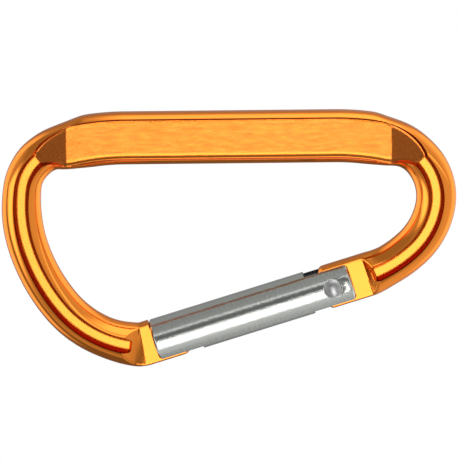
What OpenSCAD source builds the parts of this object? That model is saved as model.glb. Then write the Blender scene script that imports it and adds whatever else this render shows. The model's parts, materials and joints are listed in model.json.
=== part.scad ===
// Small carabiner keyring with a flat-pressed spine and a sprung, riveted gate.
// The frame is one round bar, bent to a slanted D and pressed between dies.
// It is drawn lying flat, with its thickness along Z, and is then stood up,
// so that the spine is on top, the gate is below and the thickness runs along Y.

/* [Bar] */
// Diameter of the round bar that the frame is bent from
bar_d = 7.1; // [6.8:0.1:7.4]
// Slope of the gate against the spine, in degrees
gate_tilt = 17; // [16:0.5:18]

/* [Bends at the hinge end] */
// Straight bar between the hinge pivot and the first bend
hinge_run = 5.8; // [5.6:0.1:6]
// Radius of the first bend
toe_r = 22; // [20:0.5:24]
// Angle of the first bend
toe_a = 26; // [24:1:28]
// Radius of the second bend
nose_r = 13.5; // [13:0.5:14]
// Angle of the second bend
nose_a = 36; // [34:1:38]
// Radius of the tight bend into the spine
crown_r = 10; // [9.5:0.5:10.5]
// Angle of the tight bend into the spine
crown_a = 88; // [86:1:90]

/* [Bends at the latch end] */
// Radius of the slow curve at each end of the spine
spine_end_r = 45; // [40:1:50]
// Angle of the slow curve at the latch end of the spine
spine_end_a = 15.5; // [15:0.5:16]
// Radius of the tight bend below the spine
shoulder_r = 8.5; // [8:0.5:9]
// Angle of the tight bend below the spine
shoulder_a = 67; // [66:1:68]
// Radius of the upper part of the long leg
leg_r = 25; // [24:0.5:26]
// Angle of the upper part of the long leg
leg_a = 25; // [24:1:26]
// Radius of the lower part of the long leg
shin_r = 32; // [31:0.5:33]
// Angle of the lower part of the long leg
shin_a = 21; // [20:1:22]
// Radius of the bend above the latch
heel_r = 19.5; // [19:0.5:20]
// Angle of the bend above the latch
heel_a = 46; // [45:1:47]
// Radius of the kink where the bar turns into the latch tongue
kink_r = 4; // [3.8:0.1:5]

/* [Pressed faces] */
// Height of the pressed spine, across its two beads
spine_w = 9.2; // [9.1:0.1:9.3]
// Thickness of the spine over its beads
spine_t = 6.2; // [6.1:0.1:6.3]
// Height of the flat panel between the beads
panel_w = 6.7; // [6.6:0.1:6.8]
// Thickness of the spine at the panel
panel_t = 4.4; // [4.3:0.1:4.5]
// Half the length of the panel
panel_half_l = 28.7; // [28.4:0.1:28.8]
// Width of the groove at the bar's surface
groove_w = 2.5; // [2.2:0.1:2.8]
// Width of the groove's floor
groove_floor_w = 1.3; // [1.1:0.1:1.6]
// Thickness of the web that two grooves leave between them
web_t = 3.2; // [3.1:0.1:3.4]

/* [Tongues] */
// Width of the flattened tongues
tongue_w = 7.8; // [7.7:0.1:7.9]
// Thickness of the flattened tongues
tongue_t = 3.9; // [3.7:0.1:3.9]
// Distance from the pivot to the end of the hinge tongue's flat
hinge_flat_l = 6.4; // [6.2:0.1:6.6]
// Distance from the pivot to the end of the latch tongue's flat
latch_flat_l = 35.2; // [35:0.1:35.4]

/* [Gate] */
// Diameter of the gate rod
gate_d = 7.66; // [7.6:0.02:7.8]
// Distance from the pivot to the gate's latch end
gate_latch_l = 33.1; // [32.8:0.1:33.3]
// Distance from the pivot to the gate's hinge end
gate_hinge_l = 3.5; // [3.3:0.1:3.6]
// Width of the slots that take the tongues
slot_w = 4.16; // [4.14:0.02:4.3]
// Diameter of the bore that holds the spring and the plunger
bore_d = 4.6; // [4.6:0.1:4.8]

/* [Rivet, plunger and spring] */
// Diameter of the rivet's shank
rivet_d = 2.4; // [2.2:0.1:2.6]
// Diameter of the rivet's heads
rivet_head_d = 3.3; // [3.1:0.1:3.4]
// Diameter of the plunger
plunger_d = 4.4; // [4.3:0.1:4.4]
// Diameter of the spring wire
wire_d = 0.45; // [0.4:0.05:0.5]
// Number of turns in the spring
spring_turns = 9; // [7:1:10]

/* [Hidden] */
$fn = 64;

ORANGE = "#e08a1c";
SILVER = "#c4c6c8";
STEEL = "#8d9093";

// Running clearance on the radius of the rivet in the hinge tongue
pivot_play = 0.05;
// Gap between the gate and the latch tongue, and between plunger and hinge tongue
rest_gap = 0.1;
// Rounding of the spine's beads and of the tongues' edges
bead_r = 2.6;
tongue_edge_r = 0.8;
// Rounding of the hinge tongue's nose, seen from the front
nose_corner_r = 1.2;
// Distance from the pivot to the hinge tongue's nose and to the latch tongue's nose
hinge_nose_l = 1.9;
latch_nose_l = 27.4;
// How far the latch tongue runs on past its flat, to the outer corner of the kink
kink_reach = 1.5;
// Lengths over which the two flats rise to the bar's full thickness
hinge_rise_l = 1.7;
latch_rise_l = 3.6;
// Where the ramps meet the grooves, in degrees along the two tight bends
crown_ramp_a = 57;
shoulder_ramp_a = 20;
// Where the grooves end, in degrees along the first bend and the bend above the latch
toe_groove_a = 5;
heel_groove_a = 42.5;
// Distances from the pivot to the ends of the gate's slots and of its blind bore
hinge_slot_l = 4.4;
latch_slot_l = 25;
bore_end_l = 21.8;
// Height of the gate's wall above the latch tongue, from the gate's axis
latch_ceiling = 2.6;
// Radius of the cutter that leaves the latch slot's curved end, and how far below the
// gate's axis its centre runs
slot_cutter_r = 9;
slot_cutter_drop = 3;
// Depth of the seats that the rivet's heads are set in, and their extra radius
head_seat = 0.42;
head_play = 0.05;
// Rise of the rivet's domed heads above their seats, and of the straight edge below the dome
head_rise = 0.5;
head_edge = 0.1;
plunger_l = 6;
plunger_tip_r = 0.5;
// Stem of the plunger, which the spring sits on
stem_d = 2.8;
stem_l = 3;
// Reach of a cutter past the solid that it cuts
over = 2;
// How much smaller a tucked-in stretch of bar is, and how far it reaches, in degrees
shade = 0.03;
tuck_a = 0.5;
kink_tuck_a = 1.5;
// Thickness of the slices that the spine's ends are stretched between, how much smaller
// than the bar a slice is, and the swell and the rounding of the half-way slice
slice_t = 0.02;
slice_shade = 0.04;
half_way_swell = 0.3;
half_way_r = 2.4;
// How far those slices, the grooves and the tongues reach into their neighbours
end_lap_a = 1;
groove_lap_a = 1;
tongue_lap = 1;
// How far a groove's cutter stands out of the bar
groove_over = 1;
// Room beside the coil in the bore, and at each of its ends
coil_play = 0.3;
spring_play = 0.02;

// The route of the bar's centre line: each step is [bend radius, angle], or [0, length].
crown_end_a = 180 - gate_tilt - toe_a - nose_a - crown_a;
kink_a = 180 + gate_tilt - spine_end_a - shoulder_a - leg_a - shin_a - heel_a;
// Straight bar after the kink, which the latch tongue's flat is pressed from
latch_run = 3;
function bends(spine_l) = [
    [0, hinge_run], [toe_r, toe_a], [nose_r, nose_a], [crown_r, crown_a],
    [spine_end_r, crown_end_a], [0, spine_l], [spine_end_r, spine_end_a],
    [shoulder_r, shoulder_a], [leg_r, leg_a], [shin_r, shin_a], [heel_r, heel_a],
    [kink_r, kink_a], [0, latch_run]
];
// Step numbers of the route
TOE = 1;
NOSE = 2;
CROWN = 3;
CROWN_END = 4;
SPINE = 5;
SPINE_END = 6;
SHOULDER = 7;
LEG = 8;
SHIN = 9;
HEEL = 10;
KINK = 11;
LATCH = 12;

// State after a step: [x, y, heading]
function go(s, m) = m[0] == 0
    ? [s[0] + m[1] * cos(s[2]), s[1] + m[1] * sin(s[2]), s[2]]
    : [s[0] + m[0] * (sin(s[2] + m[1]) - sin(s[2])),
       s[1] - m[0] * (cos(s[2] + m[1]) - cos(s[2])), s[2] + m[1]];
// State before step i, starting from state s
function walk(route, i, s) = i == 0 ? s : go(walk(route, i - 1, s), route[i - 1]);
// Distance of a state from the gate's axis
function off_axis(s) = s[1] * cos(gate_tilt) - s[0] * sin(gate_tilt);

// The spine is as long as it takes to bring the latch tongue onto the gate's axis.
from_pivot = [0, 0, gate_tilt];
spine_l = -off_axis(walk(bends(0), LATCH, from_pivot)) / sin(gate_tilt);
route = bends(spine_l);
function centre(s, r) = [s[0] - r * sin(s[2]), s[1] + r * cos(s[2])];

// The origin is the middle of the frame's outline, so the pivot is found from its edges.
right_x = centre(walk(route, CROWN, from_pivot), crown_r)[0] + crown_r + bar_d / 2;
left_x = centre(walk(route, LEG, from_pivot), leg_r)[0] - leg_r - bar_d / 2;
top_y = walk(route, SPINE, from_pivot)[1] + spine_w / 2;
low_s = walk(route, KINK, from_pivot);
low_y = centre(low_s, kink_r)[1] - kink_r - tongue_w / 2;
pivot = [-(right_x + left_x) / 2, -(top_y + low_y) / 2];
start = [pivot[0], pivot[1], gate_tilt];
function at(i) = walk(route, i, start);

// Puts the flat drawing on its feet: its Y becomes Z, and its Z becomes the front, -Y.
module stand() rotate([90, 0, 0]) children();
// Moves to the pivot, with X along the gate and away from the latch
module at_pivot() translate([pivot[0], pivot[1], 0]) rotate([0, 0, gate_tilt]) children();
// Repeats a cutter on the back face
module both_faces() for (side = [0, 1]) mirror([0, 0, side]) children();

// Sweeps a section, whose +X is the outer side of the bend, from angle a0 to a1 of bend i
module bend(i, a0, a1) {
    r = route[i][0];
    c = centre(at(i), r);
    translate([c[0], c[1], 0])
        rotate([0, 0, at(i)[2] - 90 + a0])
            rotate_extrude(angle = a1 - a0, $fn = 180)
                translate([r, 0]) children();
}
module whole_bend(i) bend(i, 0, route[i][1]) children();
// The same, reaching a little into its neighbours: its section is a shade smaller, so that
// the joint is a clean step and not two surfaces in one place
module tucked_bend(i) bend(i, -tuck_a, route[i][1] + tuck_a) children();
// Sweeps a section along straight step i
module run(i) {
    s = at(i + 1);
    translate([s[0], s[1], 0])
        rotate([0, 0, s[2]])
            rotate([90, 0, -90])
                linear_extrude(route[i][1]) children();
}
module round_rect(w, t, r) {
    square([w - 2 * r, t], center = true);
    square([w, t - 2 * r], center = true);
    for (x = [-1, 1], y = [-1, 1])
        translate([x * (w / 2 - r), y * (t / 2 - r)]) circle(r);
}
module bar_section() circle(d = bar_d);
module tucked_bar_section() circle(d = bar_d - shade);
module spine_section() round_rect(spine_w, spine_t, bead_r);
module tucked_spine_section() round_rect(spine_w - shade, spine_t - shade, bead_r);
// A cutter's section over the panel, and one over a groove
module panel_section(less = 0)
    translate([-panel_w / 2 + less, panel_t / 2 + less / 2]) square([panel_w - 2 * less, over]);
module groove_section(less = 0) {
    slope = (groove_w - groove_floor_w) / (bar_d - web_t);
    floor_x = groove_floor_w / 2 - less;
    top_x = floor_x + slope * (bar_d / 2 + groove_over - web_t / 2);
    polygon([
        [-floor_x, web_t / 2 + less / 2], [floor_x, web_t / 2 + less / 2],
        [top_x, bar_d / 2 + groove_over], [-top_x, bar_d / 2 + groove_over]
    ]);
}

// A thin slice of the bar or of the spine, a degrees into bend i
module slice(i, a) {
    r = route[i][0];
    c = centre(at(i), r);
    translate([c[0], c[1], 0])
        rotate([0, 0, at(i)[2] - 90 + a])
            translate([r, 0, 0])
                rotate([90, 0, 0])
                    linear_extrude(slice_t, center = true) children();
}
module thin_bar_section() circle(d = bar_d - slice_shade, $fn = 32);
module thin_spine_section() round_rect(spine_w - 2 * shade, spine_t - 2 * shade, bead_r, $fn = 24);
module half_way_section()
    round_rect((spine_w + bar_d) / 2 + half_way_swell, (spine_t + bar_d) / 2, half_way_r, $fn = 24);

// Where the spine's height runs out into the round bar, at both ends of the spine
crown_a0 = crown_a - 30;
crown_a1 = crown_a - 14;
shoulder_a0 = 12;
shoulder_a1 = 28;
module shoulders() {
    hull() {
        slice(CROWN, crown_a0) thin_bar_section();
        slice(CROWN, crown_a1) half_way_section();
    }
    hull() {
        slice(CROWN, crown_a1) half_way_section();
        slice(CROWN_END, end_lap_a) thin_spine_section();
    }
    hull() {
        slice(SPINE_END, spine_end_a - end_lap_a) thin_spine_section();
        slice(SHOULDER, shoulder_a0) half_way_section();
    }
    hull() {
        slice(SHOULDER, shoulder_a0) half_way_section();
        slice(SHOULDER, shoulder_a1) thin_bar_section();
    }
}

module bent_bar() {
    whole_bend(TOE) bar_section();
    tucked_bend(NOSE) tucked_bar_section();
    bend(CROWN, 0, crown_a1) bar_section();
    bend(SHOULDER, shoulder_a0, shoulder_a + tuck_a) tucked_bar_section();
    whole_bend(LEG) bar_section();
    tucked_bend(SHIN) tucked_bar_section();
    whole_bend(HEEL) bar_section();
    bend(KINK, -kink_tuck_a, kink_a) tucked_bar_section();
}
module spine() {
    tucked_bend(CROWN_END) tucked_spine_section();
    run(SPINE) spine_section();
    tucked_bend(SPINE_END) tucked_spine_section();
}

module tongue_section() round_rect(tongue_w, tongue_t + shade, tongue_edge_r);
// The flattened ends of the bar, which lie in the gate's slots
module tongues() at_pivot() {
    translate([-hinge_nose_l, 0, 0])
        rotate([90, 0, 90])
            linear_extrude(hinge_nose_l + hinge_run + tongue_lap) tongue_section();
    translate([-latch_flat_l - kink_reach, 0, 0])
        rotate([90, 0, 90])
            linear_extrude(latch_flat_l + kink_reach - latch_nose_l) tongue_section();
}

// Takes the bar down to the tongue's thickness, with a slope up to its full thickness
flat_reach = 9; // how much of the flat's length the cutter covers
module flat_cutter(flat_l, rise_l, way) {
    rise = (bar_d - tongue_t) / 2;
    rotate([90, 0, 0])
        linear_extrude(3 * tongue_w, center = true)
            polygon([
                [way * (flat_l - flat_reach), tongue_t / 2], [way * flat_l, tongue_t / 2],
                [way * (flat_l + rise_l), tongue_t / 2 + rise],
                [way * (flat_l + 2 * rise_l), tongue_t / 2 + 2 * rise],
                [way * (flat_l - flat_reach), tongue_t / 2 + 2 * rise]
            ]);
}
// Rounds the hinge tongue's nose, seen from the front
module nose_cutter() for (side = [-1, 1])
    translate([-hinge_nose_l, side * tongue_w / 2, -tongue_w])
        difference() {
            translate([-over, -nose_corner_r * (side + 1) / 2 - over * (1 - side) / 2, 0])
                cube([nose_corner_r + over, nose_corner_r + over, 2 * tongue_w]);
            translate([nose_corner_r, -side * nose_corner_r, -over])
                cylinder(r = nose_corner_r, h = 2 * (tongue_w + over));
        }
// Clears the latch tongue's nose from the wall of the gate
module latch_step_cutter()
    translate([-gate_latch_l - rest_gap, latch_ceiling - rest_gap, -tongue_w])
        cube([gate_latch_l - latch_nose_l + over, tongue_w, 2 * tongue_w]);

// The panel's ends are upright, so its cutters in the slow curves are cut off square
module panel_end(side, i, a0, a1) intersection() {
    bend(i, a0, a1) panel_section(shade);
    translate([side > 0 ? 0 : -panel_half_l, 0, 0])
        cube([panel_half_l, spine_w * 4, bar_d]);
}
// Height of the bar's centre line where the panel ends, in a bend that passes there
function height_in(i, x) =
    let (c = centre(at(i), route[i][0]))
    c[1] + sqrt(route[i][0] * route[i][0] - (x - c[0]) * (x - c[0]));
// A flat ramp from the panel's end down to the groove's floor: side is 1 at the hinge end,
// i is the bend that the panel ends in, and tip is the state where the groove starts
ramp_lap = 0.6;
module ramp_cutter(side, i, tip) {
    x0 = side * panel_half_l;
    middle = height_in(i, x0);
    half = panel_w / 2 - shade;
    across = groove_w / 2 * [sin(tip[2]), -cos(tip[2])];
    slope = atan((panel_t - web_t) / 2 / abs(tip[0] - x0));
    intersection() {
        linear_extrude(bar_d) polygon([
            [x0 - side * ramp_lap, middle - half], [x0 - side * ramp_lap, middle + half],
            [x0, middle + half], [tip[0], tip[1]] + across,
            [tip[0], tip[1]] - across, [x0, middle - half]
        ]);
        translate([x0, 0, panel_t / 2])
            rotate([0, side * slope, 0])
                translate([side > 0 ? -over : -bar_d * 2, 0, 0])
                    cube([bar_d * 2 + over, spine_w * 4, bar_d]);
    }
}
function part_way(i, a) = go(at(i), [route[i][0], a]);
module face_cutters() {
    panel_end(1, CROWN_END, 0, crown_end_a + tuck_a);
    run(SPINE) panel_section();
    panel_end(-1, SPINE_END, -tuck_a, spine_end_a);
    ramp_cutter(1, CROWN_END, part_way(CROWN, crown_ramp_a));
    ramp_cutter(-1, SPINE_END, part_way(SHOULDER, shoulder_ramp_a));
    bend(CROWN, 0, crown_ramp_a + groove_lap_a) groove_section();
    tucked_bend(NOSE) groove_section(shade);
    bend(TOE, toe_groove_a, toe_a) groove_section();
    bend(SHOULDER, shoulder_ramp_a - groove_lap_a, shoulder_a + tuck_a) groove_section(shade);
    whole_bend(LEG) groove_section();
    tucked_bend(SHIN) groove_section(shade);
    bend(HEEL, 0, heel_groove_a) groove_section();
    at_pivot() {
        flat_cutter(hinge_flat_l, hinge_rise_l, 1);
        flat_cutter(latch_flat_l, latch_rise_l, -1);
    }
}

// Round bar of orange anodised aluminium, bent, pressed and drilled for the rivet
module frame() color(ORANGE) stand() difference() {
    union() {
        bent_bar();
        spine();
        shoulders();
        tongues();
    }
    both_faces() face_cutters();
    at_pivot() {
        nose_cutter();
        latch_step_cutter();
        cylinder(d = rivet_d + 2 * pivot_play, h = 2 * tongue_w, center = true);
    }
}

// Bright aluminium rod, bored for the spring and slotted for both tongues
module gate() color(SILVER) stand() at_pivot() difference() {
    translate([-gate_latch_l, 0, 0])
        rotate([0, 90, 0])
            cylinder(d = gate_d, h = gate_latch_l + gate_hinge_l);
    translate([-bore_end_l, 0, 0])
        rotate([0, 90, 0])
            cylinder(d = bore_d, h = bore_end_l + gate_hinge_l + over);
    translate([-hinge_slot_l, -gate_d, -slot_w / 2])
        cube([hinge_slot_l + gate_hinge_l + over, 2 * gate_d, slot_w]);
    latch_slot();
    cylinder(d = rivet_d, h = 2 * gate_d, center = true);
    both_faces() translate([0, 0, gate_d / 2 - head_seat])
        cylinder(d = rivet_head_d + 2 * head_play, h = over);
}
// The latch slot is open below and at the end, and runs out in the cutter's radius
module latch_slot() intersection() {
    translate([-latch_slot_l - slot_cutter_r, -slot_cutter_drop, 0])
        cylinder(r = slot_cutter_r, h = slot_w, center = true, $fn = 180);
    translate([-gate_latch_l - over, latch_ceiling - 2 * gate_d, -slot_w])
        cube([gate_latch_l, 2 * gate_d, 2 * slot_w]);
}

// Peened through the gate's two cheeks: a shank, with a low domed head at each end
dome_rise = head_rise - head_edge;
dome_r = (rivet_head_d * rivet_head_d / 4 + dome_rise * dome_rise) / (2 * dome_rise);
module hinge_rivet() color(SILVER) stand() at_pivot() {
    cylinder(d = rivet_d, h = gate_d - 2 * head_seat + head_edge, center = true);
    both_faces() translate([0, 0, gate_d / 2 - head_seat])
        intersection() {
            cylinder(d = rivet_head_d, h = head_rise + over);
            translate([0, 0, head_rise - dome_r]) sphere(dome_r);
        }
}

// Steel plunger: the spring presses its round end on the hinge tongue's nose
plunger_face = -hinge_nose_l - rest_gap;
module spring_plunger() color(STEEL) stand() at_pivot()
    translate([plunger_face, 0, 0]) rotate([0, -90, 0]) rotate_extrude() {
        difference() {
            square([plunger_d / 2, plunger_l]);
            translate([plunger_d / 2 - plunger_tip_r, -over]) square([over, over + plunger_tip_r]);
        }
        translate([plunger_d / 2 - plunger_tip_r, plunger_tip_r]) circle(plunger_tip_r);
        square([stem_d / 2, plunger_l + stem_l]);
    }

// Steel compression spring, between the plunger's shoulder and the end of the bore
spring_d = bore_d - coil_play;
spring_from = plunger_face - plunger_l - wire_d / 2 - spring_play;
spring_to = -bore_end_l + wire_d / 2 + spring_play;
rings_per_turn = 14;
wire_sides = 6;
rings = spring_turns * rings_per_turn;
coil_r = (spring_d - wire_d) / 2;
function wire_point(k, j) =
    let (t = k * 360 / rings_per_turn, w = j * 360 / wire_sides)
    [spring_from + (spring_to - spring_from) * k / rings + wire_d / 2 * sin(w),
     (coil_r + wire_d / 2 * cos(w)) * cos(t), (coil_r + wire_d / 2 * cos(w)) * sin(t)];
module gate_spring() color(STEEL) stand() at_pivot() polyhedron(
    points = [for (k = [0:rings], j = [0:wire_sides - 1]) wire_point(k, j)],
    faces = concat(
        [[for (j = [0:wire_sides - 1]) j]],
        [for (k = [0:rings - 1], j = [0:wire_sides - 1])
            let (n = (j + 1) % wire_sides)
            [k * wire_sides + j, (k + 1) * wire_sides + j, (k + 1) * wire_sides + n, k * wire_sides + n]],
        [[for (j = [wire_sides - 1:-1:0]) rings * wire_sides + j]]
    ));

frame();
gate();
hinge_rivet();
spring_plunger();
gate_spring();
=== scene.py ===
import json
import math

import bmesh
import bpy
from mathutils import Matrix, Vector


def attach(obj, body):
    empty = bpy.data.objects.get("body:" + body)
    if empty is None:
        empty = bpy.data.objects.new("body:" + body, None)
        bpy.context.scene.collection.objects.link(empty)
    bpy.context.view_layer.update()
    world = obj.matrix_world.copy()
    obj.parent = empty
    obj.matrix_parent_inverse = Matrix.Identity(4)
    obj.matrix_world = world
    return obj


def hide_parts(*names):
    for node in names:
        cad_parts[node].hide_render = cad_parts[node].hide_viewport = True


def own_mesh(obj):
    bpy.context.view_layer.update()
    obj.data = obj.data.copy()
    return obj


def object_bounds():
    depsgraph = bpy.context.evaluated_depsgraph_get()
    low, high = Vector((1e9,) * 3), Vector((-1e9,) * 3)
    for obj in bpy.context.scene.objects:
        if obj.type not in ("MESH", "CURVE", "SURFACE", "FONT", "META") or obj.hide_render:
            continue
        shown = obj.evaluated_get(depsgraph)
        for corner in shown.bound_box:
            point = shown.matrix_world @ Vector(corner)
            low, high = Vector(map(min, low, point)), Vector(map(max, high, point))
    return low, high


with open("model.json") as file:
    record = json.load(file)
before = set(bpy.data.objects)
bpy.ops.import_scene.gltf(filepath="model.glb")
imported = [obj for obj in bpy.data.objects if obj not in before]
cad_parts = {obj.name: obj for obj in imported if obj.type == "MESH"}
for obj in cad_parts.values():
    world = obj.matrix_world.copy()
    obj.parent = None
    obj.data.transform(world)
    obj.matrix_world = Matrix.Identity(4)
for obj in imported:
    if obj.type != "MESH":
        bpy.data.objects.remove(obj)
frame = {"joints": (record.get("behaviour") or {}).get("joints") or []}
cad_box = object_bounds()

# ---------------------------------------------------------------------------
# The frame. One round bar of 7 mm aluminium is bent to a slanted D, its spine, grooves and
# two tongues are pressed between dies, and it is then bright-dipped, anodised, dyed orange
# and sealed. Its tongue is drilled for the hinge rivet.
# ---------------------------------------------------------------------------
MM = 0.001
hinge, plunger_joint = frame["joints"]
PIVOT = Vector(hinge["pos_m"]) / MM
along_gate = -Vector(plunger_joint["axis"])
GATE_TILT = math.degrees(math.atan2(along_gate.z, along_gate.x))

HINGE_NOSE = 1.9          # hinge tongue's end, before the pivot
LATCH_NOSE = 27.4         # latch tongue's end, from the pivot
HINGE_FLAT, LATCH_FLAT = 6.4, 35.2      # where the tongues' flats end, from the pivot
HINGE_RISE_L, LATCH_RISE_L = 1.7, 3.6   # length of the slope from a flat up to the round bar
LATCH_SCOOP = 0.35        # how steeply the latch side's slope starts, as a share of an even one
LATCH_STEP_AT = 33.2      # past this, the latch tongue lies inside the gate
LATCH_CEILING = 2.5       # height of the latch tongue there, from the gate's axis
NOSE_R = 1.2              # rounding of the tongues' noses, seen from the front
BAR_D = 7.1
SPINE_W, SPINE_T, BEAD_R = 9.2, 6.2, 2.4
TONGUE_W, TONGUE_T, TONGUE_R = 7.76, 3.9, 3.3
PANEL_W, PANEL_DEPTH = 6.7, 2.2
GROOVE_FLOOR_W, GROOVE_DEPTH = 1.5, 1.6
RAMP_END_W, RAMP_SLOPE, RAMP_STEP = 2.4, 0.095, 0.8
GROOVE_RUNOUT, RUNOUT_SLOPE = 0.4, 3.0      # where a groove's floor turns up, and how steeply
DRAFT, PANEL_DRAFT = 0.34, 0.75     # how far a pressed wall leans back for each mm of its height
LIP, TOP_LIP = 0.9, 0.35  # least bar left outside a pressed floor, and outside its wall's top
EDGE = 0.14               # rounding of the pressed edges, halved where a ramp meets its walls
CREASES = {1: 28.7, -1: 28.45}    # where the panel ends at each side of the middle

# Each step of the bend schedule is (radius, angle) or (0, length), from nose to nose.
BENDS = [(0, HINGE_NOSE + 5.8), (22, 26), (13.5, 36), (10, 88), (45, 13), (0, 0),
         (45, 15.5), (8.5, 67), (25, 25), (32, 21), (19.5, 46), (4, 22.5), (0, 0)]
TOE, NOSE, CROWN, CROWN_END, SPINE, SPINE_END, SHOULDER, LEG, SHIN, HEEL, KINK, LATCH = range(1, 13)


def step(state, radius, amount):
    """The bar's centre line after one step: (x, z, heading in degrees)."""
    x, z, heading = state
    a = math.radians(heading)
    if radius == 0:
        return (x + amount * math.cos(a), z + amount * math.sin(a), heading)
    b = a + math.radians(amount)
    return (x + radius * (math.sin(b) - math.sin(a)), z - radius * (math.cos(b) - math.cos(a)),
            math.degrees(b))


def walk(bends, state):
    for radius, amount in bends:
        state = step(state, radius, amount)
    return state


tilt = math.radians(GATE_TILT)
nose_start = (PIVOT.x - HINGE_NOSE * math.cos(tilt), PIVOT.z - HINGE_NOSE * math.sin(tilt), GATE_TILT)


def along_and_off(state):
    """A state's distance along the gate's axis from the pivot, and off it."""
    x, z = state[0] - PIVOT.x, state[1] - PIVOT.z
    return (x * math.cos(tilt) + z * math.sin(tilt), z * math.cos(tilt) - x * math.sin(tilt))


# The spine is as long as it takes to bring the latch tongue onto the gate's axis.
BENDS[SPINE] = (0, -along_and_off(walk(BENDS, nose_start))[1] / math.sin(tilt))
BENDS[LATCH] = (0, -LATCH_NOSE - along_and_off(walk(BENDS, nose_start))[0])
lengths = [amount if radius == 0 else radius * math.radians(amount) for radius, amount in BENDS]
STARTS = [sum(lengths[:i]) for i in range(len(lengths) + 1)]
BAR_L = STARTS[-1]


def at(u):
    """State of the centre line u mm from the hinge nose."""
    state = nose_start
    for (radius, amount), length in zip(BENDS, lengths):
        if u <= length:
            return step(state, radius, u if radius == 0 else math.degrees(u / radius))
        state = step(state, radius, amount)
        u -= length
    return step(state, 0, u)


def ease(a, b, x):
    """0 before a, 1 after b, smooth between them."""
    t = min(1, max(0, (x - a) / (b - a)))
    return t * t * (3 - 2 * t)


def soft_min(a, b, r):
    """The smaller of two, with the corner between them rounded by about r."""
    h = max(0, r - abs(a - b)) / r
    return min(a, b) - h * h * r / 4


def schedule(points, u):
    """Reads a list of (distance, value) with an easy curve between neighbours."""
    for (u0, v0), (u1, v1) in zip(points, points[1:]):
        if u < u1:
            return v0 + (v1 - v0) * ease(u0, u1, u)
    return points[-1][1]


hinge_flat = HINGE_NOSE + HINGE_FLAT
latch_flat = BAR_L + LATCH_NOSE - LATCH_FLAT
crown_crease = STARTS[CROWN_END]
shoulder_crease = STARTS[SPINE_END] + 10.35
crown_ramp, shoulder_ramp = 5.4, 4.9
groove_ends = (STARTS[TOE] + 1.5, STARTS[HEEL] + 14.8)
# How the section changes along the bar: its width, and its shares of spine and of tongue
width = [(hinge_flat, TONGUE_W), (hinge_flat + 4.6, 7.15), (STARTS[CROWN] + 3, 7.05),
         (crown_crease - 6, 6.95), (crown_crease + 4.8, SPINE_W), (STARTS[SPINE_END] + 5.6, SPINE_W),
         (STARTS[SHOULDER] + 3.8, 6.85), (STARTS[SHOULDER] + 7.2, 6.62), (STARTS[LEG] + 7, 7.1),
         (STARTS[HEEL] + 9, 7.15), (STARTS[KINK] + 1, TONGUE_W)]
pressed_flat = [(crown_crease - 7, 0), (crown_crease + 3, 1), (STARTS[SPINE_END] + 7.5, 1),
                (STARTS[SHOULDER] + 5, 0)]
tongue_like = [(hinge_flat, 1), (hinge_flat + 2.4, 0), (latch_flat - 4.5, 0), (latch_flat - 0.5, 1)]


def outline(u):
    """Width, thickness and corner radius of the bar's section before the dies' detail."""
    w, flat, tongue = schedule(width, u), schedule(pressed_flat, u), schedule(tongue_like, u)
    t = BAR_D + (SPINE_T - BAR_D) * flat
    r = min(w, t) / 2 * 0.995
    r += (BEAD_R - r) * flat
    r += (TONGUE_R - r) * tongue
    nose = min(u, BAR_L - u)
    if nose < NOSE_R:
        w -= 2 * (NOSE_R - math.sqrt(NOSE_R ** 2 - (NOSE_R - nose) ** 2))
    return w, t, min(r, w / 2 * 0.999, t / 2 * 0.999)


def outline_point(w, t, r, q):
    """The point q mm along the outline from its outer edge, as (sideways, forward)."""
    side, arc = t / 2 - r, r * math.pi / 2
    if q <= side:
        return (w / 2, q)
    if q <= side + arc:
        a = (q - side) / r
        return (w / 2 - r + r * math.cos(a), t / 2 - r + r * math.sin(a))
    return (w / 2 - r - (q - side - arc), t / 2)


def outline_reach(w, t, r, n):
    """How far along the outline the point n mm from the middle is."""
    if n <= w / 2 - r:
        return t / 2 - r + r * math.pi / 2 + (w / 2 - r - n)
    return t / 2 - r + r * math.acos(min(1, (n - w / 2 + r) / r))


def crease_shift(u, n):
    """How far a point is moved along the bar so that the panel's ends are upright lines."""
    moved = 0
    for crease, side in ((crown_crease, 1), (shoulder_crease, -1)):
        near = 1 - ease(0, 4.5, abs(u - crease))
        if near > 0:
            x, z, heading = at(crease)
            a = math.radians(heading)
            line_x = x + n * math.sin(a)
            moved += near * (side * CREASES[side] - line_x) / math.cos(a)
    return moved


def place(u, n):
    """Where the point n mm outside the centre line is, looked at from the front."""
    x, z, heading = at(u + crease_shift(u, n))
    a = math.radians(heading)
    return x + n * math.sin(a), z - n * math.cos(a)


def dies(u, n=0):
    """Half width of the pressed floor at u, its depth n mm from the middle, and its draft."""
    half, depth, draft = PANEL_W / 2, PANEL_DEPTH, PANEL_DRAFT
    if u < crown_crease or u > shoulder_crease:
        side, ramp_l = (1, crown_ramp) if u < crown_crease else (-1, shoulder_ramp)
        gone = max(crown_crease - u, u - shoulder_crease)
        past = min(1, gone / ramp_l)
        half += (RAMP_END_W / 2 - half) * past
        draft += (DRAFT - draft) * past
        if gone < ramp_l + RAMP_STEP:
            depth -= RAMP_SLOPE * max(0, side * place(u, n)[0] - CREASES[side])
        past = ease(0, RAMP_STEP, gone - ramp_l)
        half += (GROOVE_FLOOR_W / 2 - half) * past
        depth += (GROOVE_DEPTH - depth) * past
        ended = max(groove_ends[0] - u, u - groove_ends[1])
        depth += max(0, ended + GROOVE_RUNOUT) * RUNOUT_SLOPE
    return half, depth, draft


def ramp_share(u):
    """1 on the two ramps, 0 away from them."""
    crown_tip, shoulder_tip = crown_crease - crown_ramp, shoulder_crease + shoulder_ramp
    on_crown = ease(crown_tip - 0.9, crown_tip - 0.3, u) * (u < crown_crease)
    on_shoulder = 1 - ease(shoulder_tip + 0.3, shoulder_tip + 0.9, u)
    return max(on_crown, on_shoulder * (u > shoulder_crease))


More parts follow.
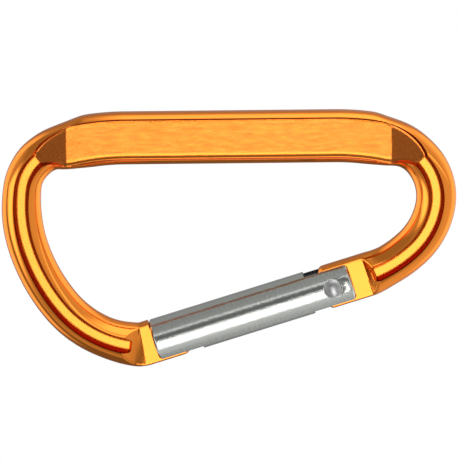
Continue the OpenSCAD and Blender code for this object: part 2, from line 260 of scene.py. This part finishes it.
def tongue_plane(u):
    """Height of the flat press over the tongues, with its slope up to the bar's own height."""
    rise = (BAR_D - TONGUE_T) / 2
    hinge_side = (u - hinge_flat) * rise / HINGE_RISE_L
    part = (latch_flat - u) / LATCH_RISE_L
    latch_side = rise * part * (LATCH_SCOOP + (1 - LATCH_SCOOP) * max(0, part))
    return TONGUE_T / 2 + max(0, min(hinge_side, latch_side))


# Points across a quarter of the section: a die's floor, the fillet beside it, its wall, the
# brow above that, and the bar's own round rim
FLOOR, FILLET, WALL, BROW, RIM = 7, 4, 3, 5, 14
QUARTER = FLOOR + FILLET + WALL + BROW + RIM
MARK = 0.02               # least depth of a die's mark
FLOOR_FADE, WALL_FADE = 0.3, 0.2        # height over which a floor's finish, or a wall's darker tone of painted shade, fades
RAMP_TONE = 0.5           # how much of the walls' darker tone (painted shade and painted reflection) the ramps' floors have


def quarter(u, way):
    """A quarter of the section, from the middle of the front face to one edge:
    a list of (sideways, forward, how much it is a die's floor, how much it is a die's wall)."""
    w, t, r = outline(u)
    half, depth, draft = dies(u)
    plane = tongue_plane(u)
    half = min(half, w / 2 - LIP)
    # The wall's top is where its lean meets the round bar, found by closing in on it.
    top = half + draft * 0.5
    for _ in range(4):
        height = outline_point(w, t, r, outline_reach(w, t, r, min(top, w / 2 - 0.3)))[1]
        top = half + draft * max(0.0, min(height, plane) - depth)
    top = min(max(top, half + 0.12), w / 2 - TOP_LIP)
    spots = [half * 0.94 * i / FLOOR for i in range(FLOOR)]
    spots += [half - EDGE + 2 * EDGE * i / FILLET for i in range(FILLET)]
    low, high = max(half + EDGE, spots[-1]), top - EDGE
    spots += [low + (max(high, low) - low) * (i + 1) / (WALL + 1) for i in range(WALL)]
    brow0 = max(high, spots[-1])
    brow1 = max(top + 2 * EDGE, brow0 + 0.1)
    spots += [brow0 + (brow1 - brow0) * (i + 1) / BROW for i in range(BROW)]
    reach = outline_reach(w, t, r, min(spots[-1], w / 2 - 0.1))
    rim = [outline_point(w, t, r, reach * (1 - (i + 1) / RIM)) for i in range(RIM)]
    body = [(n, outline_point(w, t, r, outline_reach(w, t, r, min(n, w / 2)))[1]) for n in spots]
    made = []
    for n, y in body + rim:
        depth = dies(u, way * n)[1]
        wall = depth + max(0, n - half) / draft
        fillet = EDGE / 2 if ramp_share(u) > 0.5 else EDGE
        wall = -soft_min(-depth, -wall, fillet) if n > half - EDGE else depth
        die = soft_min(wall, plane, EDGE)
        pressed = soft_min(y, die, EDGE) if n < w / 2 - 0.05 else min(y, die)
        above = pressed - (plane if wall > plane else min(depth, plane))
        touched = ease(MARK, 3 * MARK, y - pressed)
        # The ramps take the walls' darker tone too: painted reflection of the dark studio, partly rubbed
        # surface
        ramped = ramp_share(u) * (RAMP_TONE if above < 3 * MARK else 1)
        made.append((n, min(pressed, y), (1 - ease(MARK, FLOOR_FADE, above)) * touched,
                     max(ease(MARK, WALL_FADE, above), ramped) * touched))
    return made


SPINE_PITCH, BEND_PITCH = 1.0, 0.42


def ring_places():
    """Distances of the rings: close together where the dies' marks end, wider between.
    Each fine stretch is (middle, half its length, pitch)."""
    fine = [(0, 1.3, 0.16), (hinge_flat + 0.9, 1.4, 0.13), (groove_ends[0], 1.3, 0.16),
            (crown_crease - crown_ramp, 0.9, 0.16), (crown_crease, 0.7, 0.12),
            (shoulder_crease, 0.7, 0.12), (shoulder_crease + shoulder_ramp, 0.9, 0.16),
            (groove_ends[1], 1.3, 0.16), (latch_flat - 1.8, 2.4, 0.14), (BAR_L, 1.3, 0.16)]
    places = [0]
    while places[-1] < BAR_L - 0.02:
        u = places[-1]
        pitch = SPINE_PITCH if STARTS[SPINE] < u < STARTS[SPINE_END] else BEND_PITCH
        for middle, reach, close in fine:
            if abs(u - middle) < reach:
                pitch = min(pitch, close)
            elif middle - reach > u:
                pitch = min(pitch, max(0.02, middle - reach - u))
        places.append(u + pitch)
    return places[:-1] + [BAR_L]


RING = 4 * QUARTER - 4
latch_step = BAR_L + LATCH_NOSE - LATCH_STEP_AT
bm = bmesh.new()
order = bm.verts.layers.int.new("order")
floor_share = bm.verts.layers.float.new("pressed")
# Darker, redder tone on the dies' walls and on the ramps: partly rubbed surface, partly painted shade and
# painted reflection
wall_rub_and_painted_shade = bm.verts.layers.float.new("sheared_and_painted_shade")
panel_share = bm.verts.layers.float.new("coined")
bmesh.ops.create_circle(bm, segments=RING, radius=1)
bm.verts.ensure_lookup_table()
for i, v in enumerate(bm.verts):
    v[order] = i


def lay_ring(verts, u, clipped):
    """Puts one ring of the bar where the section at u has it."""
    loop = quarter(u, 1)
    loop += [(n, -y, *shares) for n, y, *shares in loop[-2::-1]]
    inside = quarter(u, -1)
    inside += [(n, -y, *shares) for n, y, *shares in inside[-2::-1]]
    loop += [(-n, y, *shares) for n, y, *shares in inside[-2:0:-1]]
    for v in verts:
        n, y, v[floor_share], v[wall_rub_and_painted_shade] = loop[v[order]]
        on_panel = crown_crease - 0.1 < u < shoulder_crease + 0.1 and n > 0.8 - PANEL_W / 2
        v[panel_share] = v[floor_share] * on_panel
        if clipped:
            n = max(n, -LATCH_CEILING)
        x, z = place(u, n)
        v.co = Vector((x, -y, z)) * MM


places = ring_places()
step_at = min(range(len(places)), key=lambda i: abs(places[i] - latch_step))
places[step_at] = latch_step
ring = list(bm.verts)
edges = list(bm.edges)
lay_ring(ring, 0, False)
bmesh.ops.contextual_create(bm, geom=edges)
for i, u in enumerate(places[1:], 1):
    for clipped in ([False, True] if i == step_at else [i > step_at]):
        grown = bmesh.ops.extrude_edge_only(bm, edges=edges)["geom"]
        ring = [g for g in grown if isinstance(g, bmesh.types.BMVert)]
        edges = [g for g in grown if isinstance(g, bmesh.types.BMEdge)]
        lay_ring(ring, u, clipped)
bmesh.ops.contextual_create(bm, geom=edges)
bmesh.ops.remove_doubles(bm, verts=bm.verts, dist=0.000002)
bmesh.ops.recalc_face_normals(bm, faces=bm.faces)


def loose(bm):
    """An object that holds a bmesh for as long as it takes to cut with it."""
    mesh = bpy.data.meshes.new("loose")
    bm.to_mesh(mesh)
    bm.free()
    held = bpy.data.objects.new("loose", mesh)
    bpy.context.scene.collection.objects.link(held)
    return held


def cut(bm, cutters):
    """The bmesh with the cutters' room taken out of it."""
    held, tools = loose(bm), [loose(c) for c in cutters]
    for tool in tools:
        knife = held.modifiers.new("cut", "BOOLEAN")
        knife.object, knife.operation, knife.solver = tool, "DIFFERENCE", "EXACT"
    done = bpy.data.meshes.new_from_object(held.evaluated_get(bpy.context.evaluated_depsgraph_get()))
    for spent in [held, *tools]:
        bpy.data.objects.remove(spent)
    made = bmesh.new()
    made.from_mesh(done)
    return made


def finish(bm, name, body, node, material, edge=0.0):
    """Makes the piece's object, with its place in its mesh, and ties it to the frame.
    edge is the rounding that its sharp edges get."""
    mesh = bpy.data.meshes.new(name)
    bm.to_mesh(mesh)
    bm.free()
    mesh.materials.clear()
    mesh.materials.append(material)
    for p in mesh.polygons:
        p.use_smooth = True
    mesh.set_sharp_from_angle(angle=math.radians(40))
    piece = bpy.data.objects.new(name, mesh)
    bpy.context.scene.collection.objects.link(piece)
    if edge:
        rounding = piece.modifiers.new("edges", "BEVEL")
        rounding.width, rounding.segments, rounding.limit_method = edge * MM, 2, "ANGLE"
        rounding.angle_limit, rounding.use_clamp_overlap = math.radians(40), True
        piece.modifiers.new("even", "WEIGHTED_NORMAL")
    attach(piece, body)
    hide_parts(node)
    return piece


def colour(code):
    """sRGB hex to the linear colour that a socket takes."""
    values = [int(code[i:i + 2], 16) / 255 for i in (1, 3, 5)]
    return [v / 12.92 if v <= 0.04045 else ((v + 0.055) / 1.055) ** 2.4 for v in values] + [1]


def add(tree, kind, settings=None, inputs=None):
    """Adds a node, sets it up, and links or fills in its inputs."""
    node = tree.nodes.new(kind)
    for key, value in (settings or {}).items():
        setattr(node, key, value)
    for key, value in (inputs or {}).items():
        if isinstance(value, bpy.types.NodeSocket):
            tree.links.new(value, node.inputs[key])
        else:
            node.inputs[key].default_value = value
    return node


def new_material(name):
    material = bpy.data.materials.new(name)
    material.use_nodes = True
    tree = material.node_tree
    tree.nodes.clear()
    return material, tree


def orange_anodised_aluminium():
    """Bright-dipped aluminium under a dyed, clear oxide: a coloured mirror, with a fine
    grit and short streaks where the dies pressed it. Their walls and the two ramps are given
    a darker, redder tone: partly the rubbed surface there, partly painted shade and painted reflection.
    The grit is drawn coarser than the real one, so that it shows."""
    material, tree = new_material("orange_anodised_aluminium")
    place = add(tree, "ShaderNodeTexCoord").outputs["Object"]
    pressed = add(tree, "ShaderNodeAttribute", {"attribute_name": "pressed"}).outputs["Fac"]
    grit = add(tree, "ShaderNodeTexNoise", {}, {
        "Vector": place, "Scale": 1 / (0.35 * MM), "Detail": 3.0, "Roughness": 0.6})
    drag = add(tree, "ShaderNodeMapping", {}, {"Vector": place, "Scale": (0.25, 1, 1)})
    streak = add(tree, "ShaderNodeTexNoise", {}, {
        "Vector": drag.outputs[0], "Scale": 1 / (0.7 * MM), "Detail": 2.0})
    both = add(tree, "ShaderNodeMath", {"operation": "ADD"}, {
        0: grit.outputs["Fac"], 1: streak.outputs["Fac"]})
    coined = add(tree, "ShaderNodeAttribute", {"attribute_name": "coined"}).outputs["Fac"]
    strength = add(tree, "ShaderNodeMath", {"operation": "MULTIPLY_ADD"}, {0: coined, 1: 0.5, 2: 0.35})
    strength = add(tree, "ShaderNodeMath", {"operation": "MULTIPLY"}, {0: pressed, 1: strength.outputs[0]})
    bump = add(tree, "ShaderNodeBump", {}, {
        "Height": both.outputs[0], "Strength": strength.outputs[0], "Distance": 0.03 * MM})
    smooth = add(tree, "ShaderNodeMapRange", {}, {"Value": pressed, "To Min": 0.13, "To Max": 0.16})
    rough = add(tree, "ShaderNodeMapRange", {}, {
        "Value": coined, "To Min": smooth.outputs[0], "To Max": 0.24})
    fibre = add(tree, "ShaderNodeMapRange", {}, {
        "Value": streak.outputs["Fac"], "From Min": 0.35, "From Max": 0.65})
    grain = add(tree, "ShaderNodeMath", {"operation": "MULTIPLY"}, {0: coined, 1: fibre.outputs[0]})
    tone = add(tree, "ShaderNodeMix", {"data_type": "RGBA"}, {
        "Factor": grain.outputs[0], "A": colour("#f78e2f"), "B": colour("#e07f26")})
    # The walls' and ramps' darker, redder colour is partly rubbed surface and partly painted shade and
    # painted reflection.
    sheared_and_painted_shade = add(tree, "ShaderNodeAttribute", {"attribute_name": "sheared_and_painted_shade"}).outputs["Fac"]
    tone = add(tree, "ShaderNodeMix", {"data_type": "RGBA"}, {
        "Factor": sheared_and_painted_shade, "A": tone.outputs["Result"], "B": colour("#a04420")})
    shader = add(tree, "ShaderNodeBsdfPrincipled", {}, {
        "Base Color": tone.outputs["Result"], "Metallic": 1.0, "Roughness": rough.outputs[0],
        "Normal": bump.outputs[0], "Specular Tint": colour("#ffdcc8"), "Coat Weight": 0.2,
        "Coat Roughness": 0.1})
    add(tree, "ShaderNodeOutputMaterial", {}, {"Surface": shader.outputs[0]})
    return material


# On the gate's axis: X away from the latch, Y to the back, Z out of the loop's inside
axis_x = Vector((math.cos(tilt), 0, math.sin(tilt)))
axis_z = Vector((-math.sin(tilt), 0, math.cos(tilt)))
turned = Matrix((axis_x, Vector((0, 1, 0)), axis_z)).transposed().to_4x4()
ON_AXIS = Matrix.Translation(PIVOT * MM) @ turned


def rod(start, end, d, across="X", segments=96):
    """A plain cylinder from start to end along an axis of the gate, through the pivot."""
    if across == "X":
        way, laid = Vector((1, 0, 0)), Matrix.Rotation(math.pi / 2, 4, "Y")
    else:
        way, laid = Vector((0, 1, 0)), Matrix.Rotation(math.pi / 2, 4, "X")
    middle = Matrix.Translation((start + end) / 2 * way * MM)
    made = bmesh.new()
    bmesh.ops.create_cone(made, cap_ends=True, segments=segments, radius1=d / 2 * MM,
                          radius2=d / 2 * MM, depth=(end - start) * MM, matrix=ON_AXIS @ middle @ laid)
    return made


RIVET_D, PIVOT_PLAY = 2.4, 0.05
bm = cut(bm, [rod(-TONGUE_W, TONGUE_W, RIVET_D + 2 * PIVOT_PLAY, "Y", 48)])
finish(bm, "frame_bar", "frame_body", "frame", orange_anodised_aluminium())


# ---------------------------------------------------------------------------
# The gate. A drawn aluminium rod is cut off and its ends are eased, it is bored from the
# hinge end for the spring, and a saw cuts a slot in each end for the frame's two tongues.
# It is left bright, with the fine lengthwise lines of the drawing die.
# ---------------------------------------------------------------------------
GATE_D, GATE_LATCH, GATE_HINGE = 7.66, 33.1, 3.5
SLOT_W, HINGE_SLOT, LATCH_SLOT = 4.16, 4.4, 25.0
BORE_D, BORE_END = 4.6, 21.8
SAW_R, SAW_DROP, WALL_AT = 9.0, 3.0, 2.6
HEAD_D, HEAD_PLAY, HEAD_SEAT, HEAD_RISE, HEAD_EDGE = 3.3, 0.05, 0.42, 0.5, 0.1
END_CHAMFER = 0.4
PAST, FAR_PAST = 2.0, 20.0        # how far a cutter stands out of the rod


def block(low, high):
    """A box between two corners on the gate's axis."""
    low, high = Vector(low), Vector(high)
    made = bmesh.new()
    size = Matrix.Diagonal(((high - low) * MM).to_4d())
    size[3][3] = 1
    bmesh.ops.create_cube(made, size=1, matrix=ON_AXIS @ Matrix.Translation((low + high) / 2 * MM) @ size)
    return made


gate = rod(-GATE_LATCH, GATE_HINGE, GATE_D)
rims = [e for e in gate.edges if any(len(f.verts) > 4 for f in e.link_faces)]
bmesh.ops.bevel(gate, geom=rims, offset=END_CHAMFER * MM, affect="EDGES", segments=1, profile=0.5,
                material=-1)
saw = bmesh.new()
saw_middle = Matrix.Translation(Vector((-LATCH_SLOT - SAW_R, 0, -SAW_DROP)) * MM)
bmesh.ops.create_cone(saw, cap_ends=True, segments=180, radius1=SAW_R * MM, radius2=SAW_R * MM,
                      depth=SLOT_W * MM, matrix=ON_AXIS @ saw_middle @ Matrix.Rotation(math.pi / 2, 4, "X"))
saw = cut(saw, [block((-GATE_LATCH - FAR_PAST, -GATE_D, WALL_AT), (0, GATE_D, 3 * GATE_D))])
slot = block((-HINGE_SLOT, -SLOT_W / 2, -GATE_D), (GATE_HINGE + PAST, SLOT_W / 2, GATE_D))
bore = rod(-BORE_END, GATE_HINGE + PAST, BORE_D, segments=64)
seat = GATE_D / 2 - HEAD_SEAT
seats = [rod(start, end, HEAD_D + 2 * HEAD_PLAY, "Y", 64)
         for start, end in ((seat, GATE_D), (-GATE_D, -seat))]
gate = cut(gate, [bore, slot, saw, rod(-GATE_D, GATE_D, RIVET_D, "Y", 48), *seats])


def bare_aluminium(name, code, roughness, lines, dents):
    """Bare drawn aluminium: a pale mirror, whose fine lines along the rod blur what it shows
    across them, with handling dents that make the edges of its reflections ragged. Both are
    drawn a little coarser than the real ones, so that they show."""
    material, tree = new_material(name)
    place = add(tree, "ShaderNodeTexCoord").outputs["Object"]
    level = add(tree, "ShaderNodeMapping", {}, {"Vector": place, "Rotation": (0, tilt, 0)})
    drawn = add(tree, "ShaderNodeMapping", {}, {"Vector": level.outputs[0], "Scale": (0.03, 1, 1)})
    line = add(tree, "ShaderNodeTexNoise", {}, {
        "Vector": drawn.outputs[0], "Scale": 1 / (0.22 * MM), "Detail": 3.0})
    dent = add(tree, "ShaderNodeTexNoise", {}, {
        "Vector": level.outputs[0], "Scale": 1 / (0.5 * MM), "Detail": 4.0, "Roughness": 0.65})
    bump = add(tree, "ShaderNodeBump", {}, {
        "Height": line.outputs["Fac"], "Strength": lines, "Distance": 0.02 * MM})
    bump = add(tree, "ShaderNodeBump", {}, {
        "Height": dent.outputs["Fac"], "Strength": dents, "Distance": 0.04 * MM, "Normal": bump.outputs[0]})
    rough = add(tree, "ShaderNodeMapRange", {}, {
        "Value": dent.outputs["Fac"], "To Min": roughness * 0.7, "To Max": roughness * 1.3})
    shader = add(tree, "ShaderNodeBsdfPrincipled", {}, {
        "Base Color": colour(code), "Metallic": 1.0, "Roughness": rough.outputs[0],
        "Normal": bump.outputs[0]})
    add(tree, "ShaderNodeOutputMaterial", {}, {"Surface": shader.outputs[0]})
    return material


finish(gate, "gate_rod", "gate_body", "gate",
       bare_aluminium("bright_drawn_aluminium", "#bcbfba", 0.11, 0.3, 0.9), edge=0.12)


# ---------------------------------------------------------------------------
# The hinge rivet. A soft aluminium pin goes through the cheeks and the tongue, and both of its
# ends are peened to low domes in their seats, which leaves them a little duller than the rod.
# ---------------------------------------------------------------------------
def spun(profile, axis, segments):
    """A turned solid from (distance along the axis, radius) points, from pole to pole."""
    made = bmesh.new()
    side = Vector((0, 0, 1))
    verts = [made.verts.new(ON_AXIS @ ((axis * far + side * r) * MM)) for far, r in profile]
    edges = [made.edges.new(pair) for pair in zip(verts, verts[1:])]
    bmesh.ops.spin(made, geom=verts + edges, cent=ON_AXIS @ Vector(), axis=ON_AXIS.to_3x3() @ axis,
                   angle=2 * math.pi, steps=segments, use_merge=True)
    bmesh.ops.remove_doubles(made, verts=made.verts, dist=0.000001)
    bmesh.ops.recalc_face_normals(made, faces=made.faces)
    return made


DOME_STEPS = 10
dome = HEAD_RISE - HEAD_EDGE
dome_r = (HEAD_D ** 2 / 4 + dome ** 2) / (2 * dome)
spread = math.asin(HEAD_D / 2 / dome_r)
head = [(seat, RIVET_D / 2), (seat, HEAD_D / 2)]
for k in range(DOME_STEPS, -1, -1):
    a = spread * k / DOME_STEPS
    head.append((seat + HEAD_RISE - dome_r + dome_r * math.cos(a), dome_r * math.sin(a)))
rivet = spun([(-far, r) for far, r in head[::-1]] + head, Vector((0, 1, 0)), 64)
finish(rivet, "rivet_pin", "gate_body", "hinge_rivet",
       bare_aluminium("peened_aluminium", "#c2c2c2", 0.28, 0.0, 0.35), edge=0.06)


# ---------------------------------------------------------------------------
# The spring plunger. A turned steel slug with a rounded face and a stem for the spring. It is
# oiled and darkened, and slides in the gate's bore.
# ---------------------------------------------------------------------------
PLUNGER_D, PLUNGER_L, PLUNGER_TIP, REST_GAP = 4.4, 6.0, 0.5, 0.1
TIP_STEPS = 6
STEM_D, STEM_L = 2.8, 3.0
face = HINGE_NOSE + REST_GAP
corner = [(face + PLUNGER_TIP * (1 - math.cos(a)), PLUNGER_D / 2 - PLUNGER_TIP * (1 - math.sin(a)))
          for a in [math.pi / 2 * k / TIP_STEPS for k in range(TIP_STEPS + 1)]]
foot = face + PLUNGER_L
stem = [(foot, PLUNGER_D / 2), (foot, STEM_D / 2), (foot + STEM_L, STEM_D / 2), (foot + STEM_L, 0)]
plunger = spun([(face, 0)] + corner + stem, Vector((-1, 0, 0)), 64)


def worked_steel(name, code, roughness, ring_pitch):
    """Steel with the fine rings of its turning or of its drawing, as bands of light and dark
    across it, darkened by oil. The rings are drawn coarser than the real ones, so that they
    show."""
    material, tree = new_material(name)
    place = add(tree, "ShaderNodeTexCoord").outputs["Object"]
    level = add(tree, "ShaderNodeMapping", {}, {
        "Vector": place, "Rotation": (0, tilt, 0), "Scale": (1, 0.1, 0.1)})
    rings = add(tree, "ShaderNodeTexNoise", {}, {
        "Vector": level.outputs[0], "Scale": 1 / (ring_pitch * MM), "Detail": 3.0})
    bump = add(tree, "ShaderNodeBump", {}, {
        "Height": rings.outputs["Fac"], "Strength": 0.3, "Distance": 0.02 * MM})
    tone = add(tree, "ShaderNodeMix", {"data_type": "RGBA", "blend_type": "MULTIPLY"}, {
        "Factor": 0.5, "A": colour(code), "B": rings.outputs["Color"]})
    shader = add(tree, "ShaderNodeBsdfPrincipled", {}, {
        "Base Color": tone.outputs["Result"], "Metallic": 1.0, "Roughness": roughness,
        "Normal": bump.outputs[0]})
    add(tree, "ShaderNodeOutputMaterial", {}, {"Surface": shader.outputs[0]})
    return material


finish(plunger, "plunger_slug", "plunger_body", "spring_plunger",
       worked_steel("oiled_turned_steel", "#6a6c70", 0.3, 0.12), edge=0.08)


# ---------------------------------------------------------------------------
# The gate spring. Round spring wire is wound to an open coil, which stands on the plunger's
# shoulder and on the end of the bore.
# ---------------------------------------------------------------------------
WIRE_D, TURNS, COIL_PLAY, SPRING_PLAY = 0.45, 9, 0.3, 0.02
STEPS_PER_TURN = 32
coil_r = (BORE_D - COIL_PLAY - WIRE_D) / 2
first = -face - PLUNGER_L - WIRE_D / 2 - SPRING_PLAY
last = -BORE_END + WIRE_D / 2 + SPRING_PLAY
spring = bmesh.new()
wire = bmesh.ops.create_circle(spring, segments=12, radius=WIRE_D / 2 * MM,
                               matrix=ON_AXIS @ Matrix.Translation(Vector((first, coil_r, 0)) * MM))["verts"]
wire_edges = list(spring.edges)
steps = TURNS * STEPS_PER_TURN
bmesh.ops.contextual_create(spring, geom=wire_edges)
bmesh.ops.spin(spring, geom=wire + wire_edges, cent=ON_AXIS @ Vector(), axis=axis_x,
               dvec=axis_x * ((last - first) / steps * MM), angle=TURNS * 2 * math.pi, steps=steps)
bmesh.ops.contextual_create(spring, geom=[e for e in spring.edges if e.is_boundary])
bmesh.ops.recalc_face_normals(spring, faces=spring.faces)
coil = finish(spring, "spring_coil", "gate_body", "gate_spring",
              worked_steel("spring_wire", "#9a9ca0", 0.22, 0.3))
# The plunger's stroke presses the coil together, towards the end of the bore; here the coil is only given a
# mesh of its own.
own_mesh(coil)


# ---------------------------------------------------------------------------
# The studio. White cards and grey gaps stand all round the object, as bands of the world's
# light that run level round the X axis, and upright at the sides. They have soft edges, and
# every metal piece shows them as its highlights and dark lines.
# ---------------------------------------------------------------------------
world = bpy.data.worlds.new("studio")
bpy.context.scene.world = world
world.use_nodes = True
tree = world.node_tree
tree.nodes.clear()
way = add(tree, "ShaderNodeTexCoord").outputs["Generated"]
parts = add(tree, "ShaderNodeSeparateXYZ", {}, {"Vector": way})


def math_node(operation, a, b=0.0, c=0.0):
    return add(tree, "ShaderNodeMath", {"operation": operation}, {0: a, 1: b, 2: c}).outputs[0]


x, y, z = parts.outputs[0], parts.outputs[1], parts.outputs[2]
back = math_node("MULTIPLY", y, -1.0)
turn = math_node("ARCTAN2", z, back)
turn = math_node("MULTIPLY_ADD", turn, 0.5 / math.pi, 0.5)


def ramp(value, stops):
    """A grey ramp over 0..1: stops are (place, brightness)."""
    node = add(tree, "ShaderNodeValToRGB", {}, {"Fac": value})
    node.color_ramp.elements.remove(node.color_ramp.elements[0])
    for i, (place, level) in enumerate(stops):
        if i == 0:
            stop = node.color_ramp.elements[0]
            stop.position = place
        else:
            stop = node.color_ramp.elements.new(place)
        stop.color = (level, level, level, 1)
    return node.outputs["Color"]


def tilt_stops(stops):
    return [((degrees + 180) / 360, level) for degrees, level in stops]


def over_light(light, share, level):
    """The light, with an even card of one brightness in front of it where share is 1."""
    return add(tree, "ShaderNodeMix", {"data_type": "RGBA"}, {
        "Factor": share, "A": light, "B": (level, level, level, 1)}).outputs["Result"]


def smooth_step(value, start, end, first=0.0, last=1.0):
    """first where the value is before start, last where it is past end, smooth between."""
    return add(tree, "ShaderNodeMapRange", {"interpolation_type": "SMOOTHSTEP"}, {
        "Value": value, "From Min": start, "From Max": end, "To Min": first,
        "To Max": last}).outputs[0]


# Round the X axis: 0 is the front horizon, 90 is straight up, 180 the back
upright = ramp(turn, tilt_stops([
    (-180, 0.6), (-150, 0.6), (-110, 0.7), (-75, 0.75), (-60, 0.8), (-46, 1.1), (-38, 3.1), (-4, 3.1),
    (0, 0.9), (5, 0.22), (22, 0.22), (29, 0.5), (31, 1.7), (38, 1.7), (41, 0.5), (50, 0.65), (75, 0.65),
    (90, 0.95), (115, 0.66), (150, 0.45), (180, 0.4)]))
level = math_node("MULTIPLY_ADD", x, 0.5, 0.5)
sideways = ramp(level, [(0.0, 1.6), (0.03, 2.3), (0.085, 2.3), (0.115, 0.8), (0.16, 0.42), (0.38, 0.28),
                        (0.66, 0.28), (0.78, 0.6), (0.9, 0.75), (1.0, 0.8)])

# A bright card overhead at the right, a dark one beneath, and a grey one above the left
overhead = ramp(turn, tilt_stops([(40, 0), (50, 1), (95, 1), (120, 0)]))
right = ramp(level, [(0.42, 0), (0.48, 1), (0.7, 1), (0.82, 0)])
upright = over_light(upright, math_node("MULTIPLY", overhead, right), 1.8)
beneath = ramp(turn, tilt_stops([(-180, 1), (-85, 1), (-72, 0)]))
not_right = smooth_step(x, 0.12, 0.3, 1.0, 0.0)
upright = over_light(upright, math_node("MULTIPLY", beneath, not_right), 0.24)
above = ramp(turn, tilt_stops([(24, 0), (34, 1), (110, 1), (140, 0)]))
left = ramp(level, [(0.06, 0), (0.13, 1), (0.32, 1), (0.38, 0)])
upright = over_light(upright, math_node("MULTIPLY", above, left), 0.42)

# The level bands are a little brighter at the right than at the left.
gain = add(tree, "ShaderNodeMapRange", {}, {
    "Value": x, "From Min": -0.05, "From Max": 0.05, "To Min": 0.85, "To Max": 1.1})
upright = add(tree, "ShaderNodeVectorMath", {"operation": "SCALE"}, {
    0: upright, "Scale": gain.outputs[0]}).outputs[0]

# In front, the level bands reach only a narrow, slanted strip, with the side cards beside it.
off_strip = math_node("ABSOLUTE", math_node("MULTIPLY_ADD", z, 0.3, math_node("ADD", x, 0.05)))
in_front = ramp(turn, tilt_stops([(-75, 0), (-55, 1), (24, 1), (30, 0)]))
light = add(tree, "ShaderNodeMix", {"data_type": "RGBA"}, {
    "Factor": math_node("MULTIPLY", smooth_step(off_strip, 0.07, 0.13), in_front), "A": upright,
    "B": sideways}).outputs["Result"]

# Two bright cards stand behind the object, at the far left and right.
far_aside = smooth_step(math_node("ABSOLUTE", x), 0.35, 0.7)
light = over_light(light, math_node("MULTIPLY", far_aside, smooth_step(y, 0.05, 0.3)), 1.4)
studio = add(tree, "ShaderNodeBackground", {}, {"Color": light, "Strength": 1.0})
backdrop = add(tree, "ShaderNodeBackground", {}, {"Color": (1, 1, 1, 1), "Strength": 1.0})
seen = add(tree, "ShaderNodeLightPath").outputs["Is Camera Ray"]
both = add(tree, "ShaderNodeMixShader", {}, {"Fac": seen, 1: studio.outputs[0], 2: backdrop.outputs[0]})
add(tree, "ShaderNodeOutputWorld", {}, {"Surface": both.outputs[0]})

bpy.context.scene.view_settings.view_transform = "Standard"

# A white card lies under the object, and throws no light of its own on it.
card = bmesh.new()
bmesh.ops.create_grid(card, x_segments=1, y_segments=1, size=2.0)
card_mesh = bpy.data.meshes.new("white_card")
card.to_mesh(card_mesh)
card.free()
material, tree = new_material("white_card")
white = add(tree, "ShaderNodeEmission", {}, {"Color": (1, 1, 1, 1), "Strength": 1.0})
add(tree, "ShaderNodeOutputMaterial", {}, {"Surface": white.outputs[0]})
card_mesh.materials.append(material)
floor = bpy.data.objects.new("white_card", card_mesh)
floor.location.z = cad_box[0][2] - 0.1 * MM
floor.visible_glossy = floor.visible_diffuse = floor.visible_shadow = False
bpy.context.scene.collection.objects.link(floor)

# ---------------------------------------------------------------------------
# The camera. It looks at the front face from far off and a little above, turned very
# slightly, with a long lens that shows about 81 mm of width.
# ---------------------------------------------------------------------------
ELEVATION, ROLL, DISTANCE, VIEW_W = 10.0, 0.59, 900.0, 81.25
AIM_RIGHT, AIM_UP = 0.141, 1.51
e, roll = math.radians(ELEVATION), math.radians(ROLL)
away = Vector((0, -math.cos(e), math.sin(e)))
level_right, level_up = Vector((1, 0, 0)), Vector((0, math.sin(e), math.cos(e)))
cam_right = level_right * math.cos(roll) - level_up * math.sin(roll)
cam_up = level_up * math.cos(roll) + level_right * math.sin(roll)
aim = cam_right * AIM_RIGHT + cam_up * AIM_UP
camera_data = bpy.data.cameras.new("camera")
camera_data.sensor_width = 36
camera_data.lens = 36 * DISTANCE / VIEW_W
camera_data.clip_start, camera_data.clip_end = 0.01, 20
camera = bpy.data.objects.new("camera", camera_data)
turned = Matrix((cam_right, cam_up, away)).transposed().to_4x4()
camera.matrix_world = Matrix.Translation((aim + away * DISTANCE) * MM) @ turned
bpy.context.scene.collection.objects.link(camera)
bpy.context.scene.camera = camera
